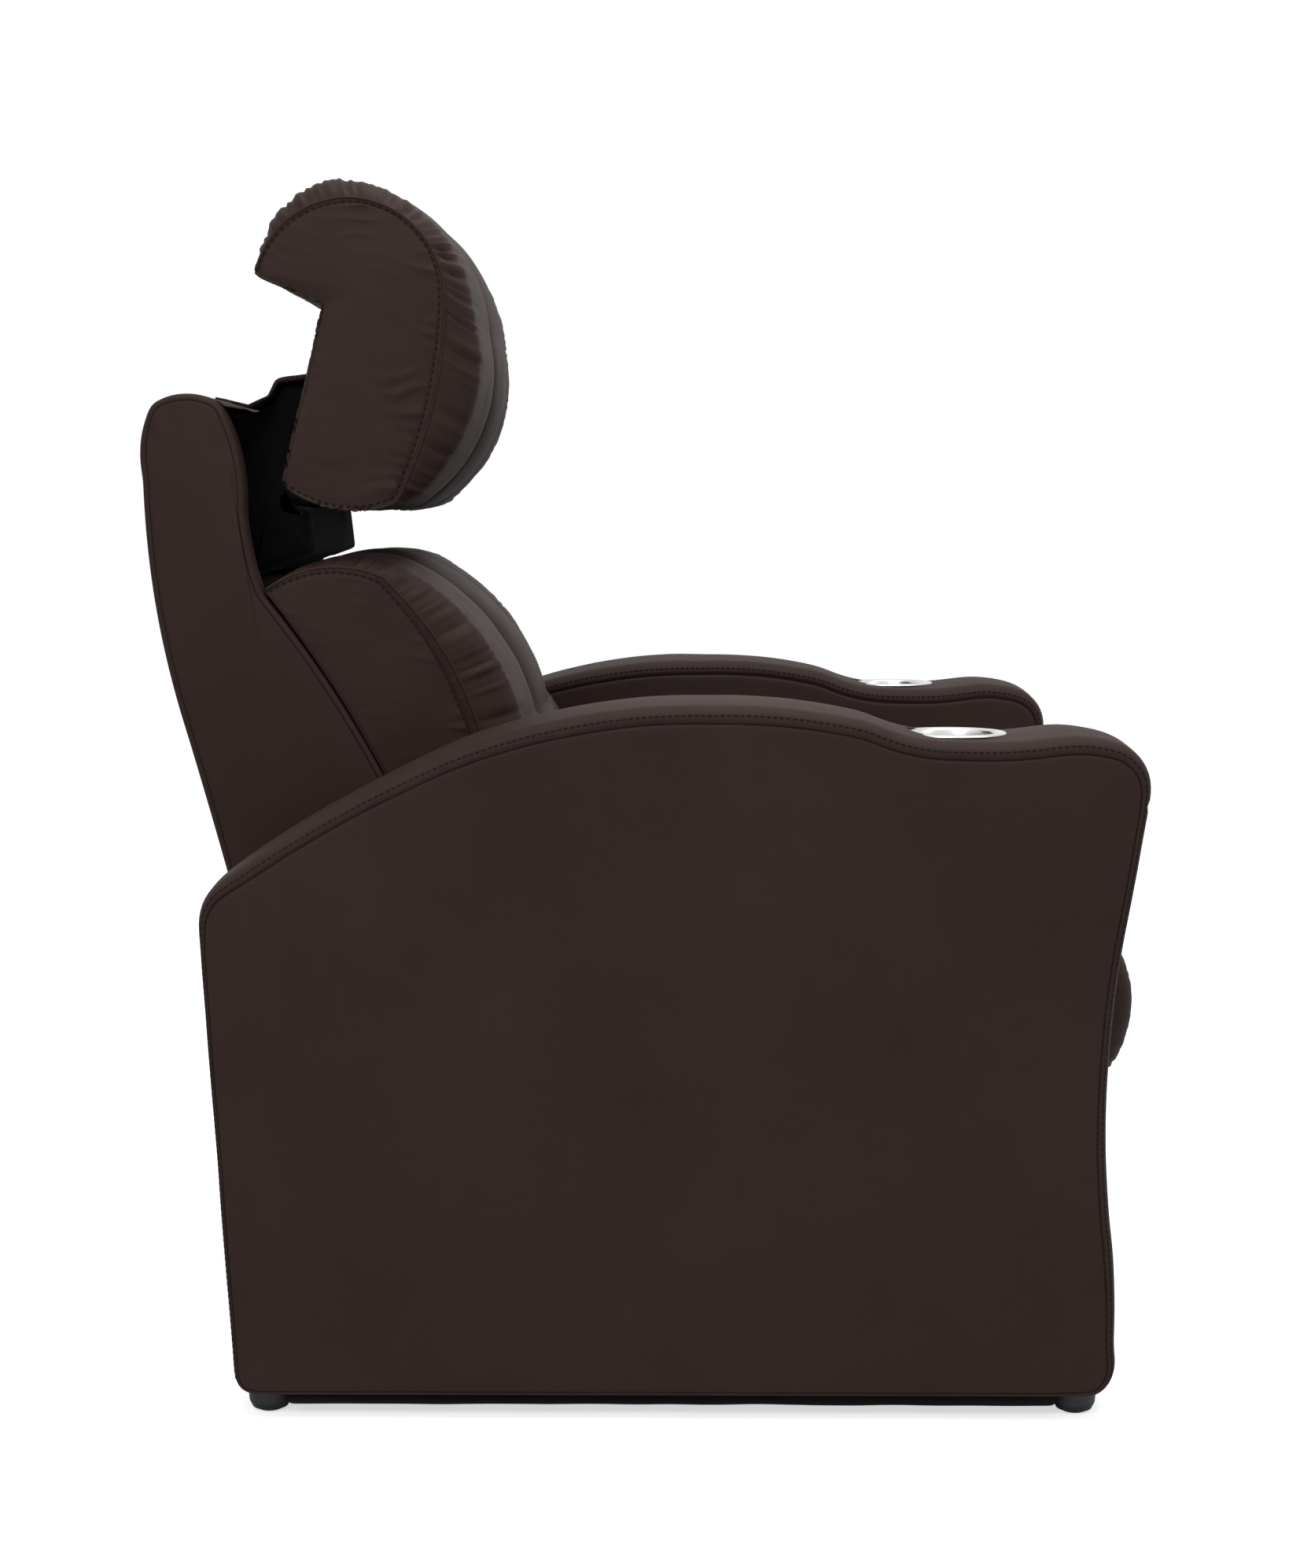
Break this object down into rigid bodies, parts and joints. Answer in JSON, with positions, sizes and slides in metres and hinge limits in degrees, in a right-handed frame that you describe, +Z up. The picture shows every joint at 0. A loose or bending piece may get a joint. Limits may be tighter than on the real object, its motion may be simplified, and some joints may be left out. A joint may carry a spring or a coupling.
{
  "type": "cinema recliner seat",
  "caption": "Powered home cinema recliner in dark leather, with closed arms, cup holders, a folding footrest, a reclining back and a tilting headrest.",
  "frame": {"origin": "on the floor, in the middle of the chair's width and depth", "axes": "+Z up, the occupant faces -Y, +X is the occupant's left"},
  "size_m": [0.89, 1.0162, 1.2186],
  "materials": {
    "leather": "fine grained dark brown leather, satin",
    "wood": "raw birch plywood",
    "black_cloth": "matt black woven cloth",
    "stainless": "brushed stainless steel",
    "black_plastic": "matt black moulded plastic",
    "painted_steel": "black powder coat"
  },
  "bodies": {
    "base": {"arm_cover_left": "leather", "arm_cover_right": "leather", "arm_frame_left": "wood", "arm_frame_right": "wood", "cup_holder_left": "stainless", "cup_holder_right": "stainless", "feet": "black_plastic", "cross_rails": "painted_steel", "arm_brackets": "painted_steel", "arm_bolts": "stainless", "slide_rails": "painted_steel", "base_rear_panel": "leather", "power_inlet": "black_plastic", "switch_plate": "black_plastic"},
    "button_a": {"button_1": "black_plastic"},
    "button_b": {"button_2": "black_plastic"},
    "button_c": {"button_3": "black_plastic"},
    "button_d": {"button_4": "black_plastic"},
    "carriage": {"side_plate_left": "painted_steel", "side_plate_right": "painted_steel", "carriage_tubes": "painted_steel", "glide_shoes": "black_plastic", "seat_frame": "wood", "seat_webbing": "black_cloth", "seat_cushion": "leather", "footrest_actuator": "painted_steel", "recline_actuator": "painted_steel", "drive_hangers": "painted_steel", "carriage_pivots": "painted_steel"},
    "front_links": {"torque_tube": "painted_steel", "front_links": "painted_steel"},
    "rear_links": {"rear_links": "painted_steel"},
    "long_links": {"long_links": "painted_steel"},
    "short_links": {"short_links": "painted_steel"},
    "footrest": {"footrest_brackets": "painted_steel", "footrest_board": "wood", "footrest_pad": "leather"},
    "footrest_nut": {"footrest_drive_nut": "black_plastic"},
    "recline_nut": {"recline_drive_nut": "black_plastic"},
    "back": {"back_frame": "wood", "recline_brackets": "painted_steel", "back_wing_left": "leather", "back_wing_right": "leather", "back_rear_panel": "leather", "back_top_cap": "leather", "back_well_lining": "black_cloth", "lumbar_cushion": "leather", "headrest_mounts": "painted_steel", "headrest_actuator": "painted_steel", "headrest_boot": "black_cloth", "headrest_flap": "leather"},
    "headrest_rear_links": {"headrest_rear_links": "painted_steel", "headrest_shaft": "painted_steel"},
    "headrest_front_links": {"headrest_front_links": "painted_steel"},
    "headrest_nut": {"headrest_drive_nut": "black_plastic"},
    "headrest": {"headrest_brackets": "painted_steel", "headrest_board": "wood", "headrest_cushion": "leather"}
  },
  "joints": [
    {"name": "seat_glide", "type": "slide", "parent": "base", "child": "carriage", "axis": [0, -1, 0], "range_m": [0, 0.09]},
    {"name": "back_recline", "type": "hinge", "parent": "carriage", "child": "back", "pos_m": [0, 0.282, 0.36], "axis": [-1, 0, 0], "range_deg": [0, 34.05]},
    {"name": "recline_nut_travel", "type": "slide", "parent": "carriage", "child": "recline_nut", "axis": [0, -1, 0], "range_m": [0, 0.04683]},
    {"name": "footrest_lift", "type": "hinge", "parent": "carriage", "child": "front_links", "pos_m": [0, -0.234, 0.285], "axis": [-1, 0, 0], "range_deg": [0, 106]},
    {"name": "rear_link_swing", "type": "hinge", "parent": "carriage", "child": "rear_links", "pos_m": [0, -0.182, 0.256], "axis": [-1, 0, 0], "range_deg": [0, 107.05]},
    {"name": "long_link_swing", "type": "hinge", "parent": "front_links", "child": "long_links", "pos_m": [0, -0.1135, 0.163], "axis": [-1, 0, 0], "range_deg": [-112.05, 0]},
    {"name": "short_link_swing", "type": "hinge", "parent": "front_links", "child": "short_links", "pos_m": [0, -0.1205, 0.1195], "axis": [-1, 0, 0], "range_deg": [-111.05, 0]},
    {"name": "footrest_turn", "type": "hinge", "parent": "long_links", "child": "footrest", "pos_m": [0, -0.355, 0.292], "axis": [-1, 0, 0], "range_deg": [0, 96.05]},
    {"name": "footrest_nut_travel", "type": "slide", "parent": "carriage", "child": "footrest_nut", "axis": [0, -1, 0], "range_m": [0, 0.07493]},
    {"name": "headrest_raise", "type": "hinge", "parent": "back", "child": "headrest_front_links", "pos_m": [0, 0.416, 0.896], "axis": [-1, 0, 0], "range_deg": [-62, 0], "deforming": ["headrest_boot", "headrest_flap"]},
    {"name": "headrest_rear_link_swing", "type": "hinge", "parent": "back", "child": "headrest_rear_links", "pos_m": [0, 0.468, 0.912], "axis": [-1, 0, 0], "range_deg": [-54.83, 0]},
    {"name": "headrest_tilt", "type": "hinge", "parent": "headrest_front_links", "child": "headrest", "pos_m": [0, 0.372, 0.94], "axis": [-1, 0, 0], "range_deg": [0, 76.5]},
    {"name": "headrest_nut_travel", "type": "slide", "parent": "back", "child": "headrest_nut", "axis": [0, 0, 1], "range_m": [-0.02765, 0]},
    {"name": "button_1_press", "type": "slide", "parent": "base", "child": "button_a", "axis": [-1, 0, 0], "range_m": [0, 0.0015], "stiffness_N_per_m": 800},
    {"name": "button_2_press", "type": "slide", "parent": "base", "child": "button_b", "axis": [-1, 0, 0], "range_m": [0, 0.0015], "stiffness_N_per_m": 800},
    {"name": "button_3_press", "type": "slide", "parent": "base", "child": "button_c", "axis": [-1, 0, 0], "range_m": [0, 0.0015], "stiffness_N_per_m": 800},
    {"name": "button_4_press", "type": "slide", "parent": "base", "child": "button_d", "axis": [-1, 0, 0], "range_m": [0, 0.0015], "stiffness_N_per_m": 800}
  ],
  "couplings": [
    {"joint": "back_recline", "follows": "seat_glide", "rad_per_m": 6.5935},
    {"joint": "recline_nut_travel", "follows": "seat_glide", "ratio": 0.51977},
    {"joint": "rear_link_swing", "follows": "footrest_lift", "ratio": 1.0094},
    {"joint": "long_link_swing", "follows": "footrest_lift", "ratio": -1.0566},
    {"joint": "short_link_swing", "follows": "footrest_lift", "ratio": -1.0472},
    {"joint": "footrest_turn", "follows": "footrest_lift", "ratio": 0.90566},
    {"joint": "footrest_nut_travel", "follows": "footrest_lift", "m_per_rad": 0.040475},
    {"joint": "headrest_rear_link_swing", "follows": "headrest_raise", "ratio": 0.8835},
    {"joint": "headrest_tilt", "follows": "headrest_raise", "ratio": -1.233},
    {"joint": "headrest_nut_travel", "follows": "headrest_raise", "m_per_rad": 0.025506}
  ]
}
